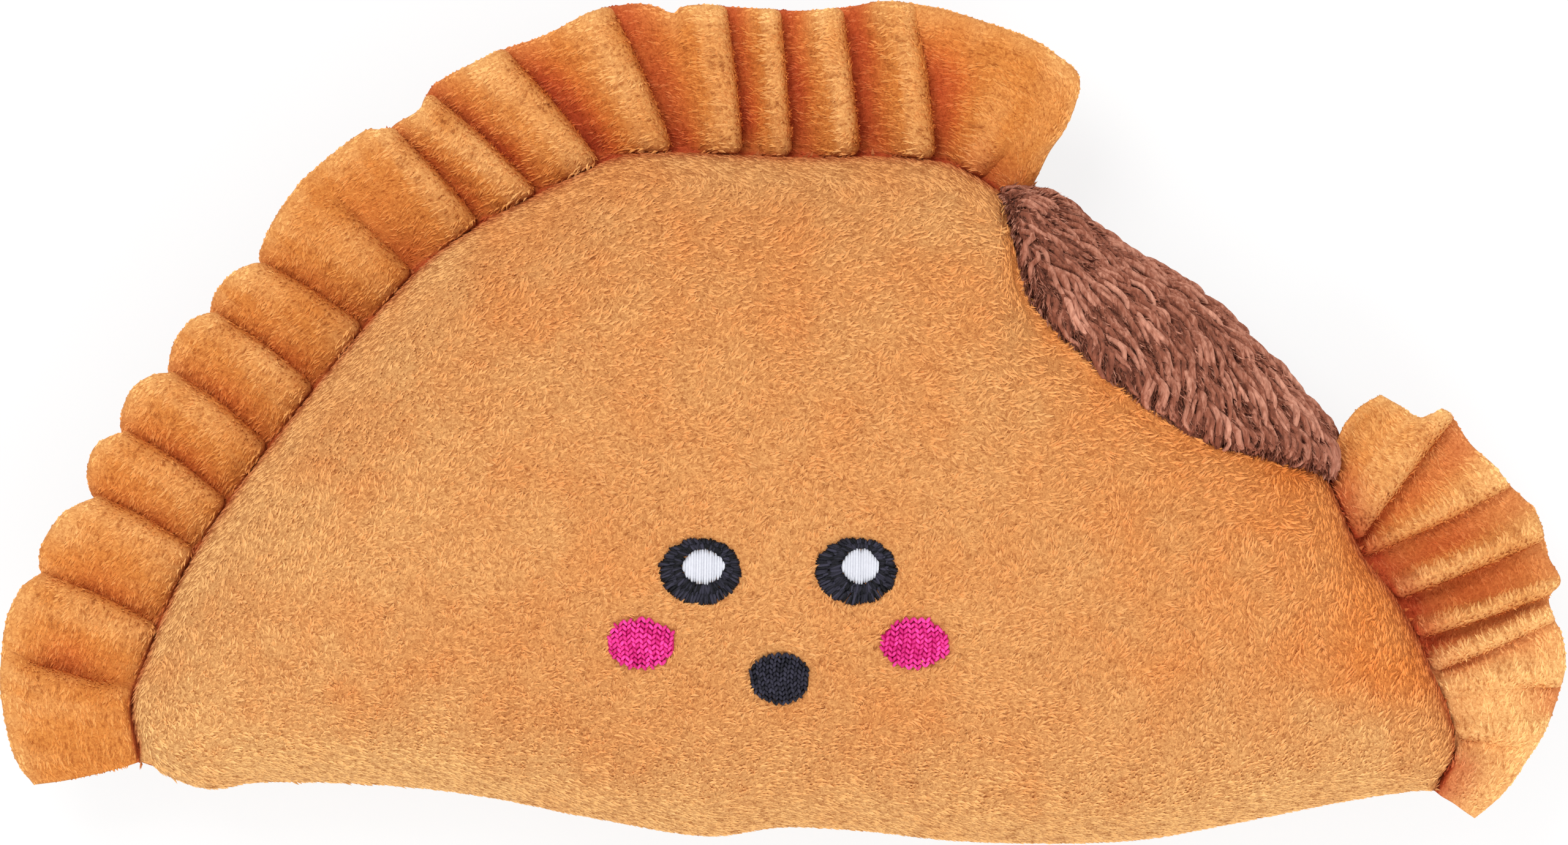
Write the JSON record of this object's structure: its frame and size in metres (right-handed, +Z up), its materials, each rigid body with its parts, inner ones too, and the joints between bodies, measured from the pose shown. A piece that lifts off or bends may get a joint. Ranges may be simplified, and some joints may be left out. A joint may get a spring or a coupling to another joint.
{
  "type": "plush squeaky dog toy",
  "caption": "Plush squeaky dog toy shaped like a folded pastry with a bite taken out, with a gathered crust ruffle, a fleece filling and an embroidered face.",
  "frame": {"origin": "on the surface that the toy lies on, under the middle of its outline", "axes": "+X along the straight side, towards the end with the bite; +Y from the straight side towards the top of the crust; +Z up, out of the embroidered face"},
  "size_m": [0.2306, 0.1236, 0.0551],
  "materials": {
    "dough_plush": "matte",
    "crust_plush": "matte",
    "filling_fleece": "matte",
    "black_thread": "satin",
    "white_thread": "satin",
    "pink_thread": "satin",
    "wadding": "matte",
    "bellows_plastic": "satin",
    "whistle_plastic": "satin"
  },
  "bodies": {
    "toy": {"front_panel": "dough_plush", "back_panel": "dough_plush", "bite_filling": "filling_fleece", "crust_ruffle_long": "crust_plush", "crust_ruffle_short": "crust_plush", "left_eye_ring": "black_thread", "right_eye_ring": "black_thread", "left_eye_highlight": "white_thread", "right_eye_highlight": "white_thread", "left_cheek": "pink_thread", "right_cheek": "pink_thread", "mouth": "black_thread", "stuffing_front": "wadding", "stuffing_back": "wadding", "stuffing_bite": "wadding", "whistle_seat": "whistle_plastic", "whistle_reed": "whistle_plastic", "whistle_cap": "whistle_plastic"},
    "bellows": {"squeaker_bellows": "bellows_plastic"}
  },
  "joints": [
    {"name": "squeak_press", "type": "slide", "parent": "toy", "child": "bellows", "axis": [0, 0, -1], "range_m": [0, 0.008], "stiffness_N_per_m": 300, "deforming": ["squeaker_bellows"]}
  ]
}
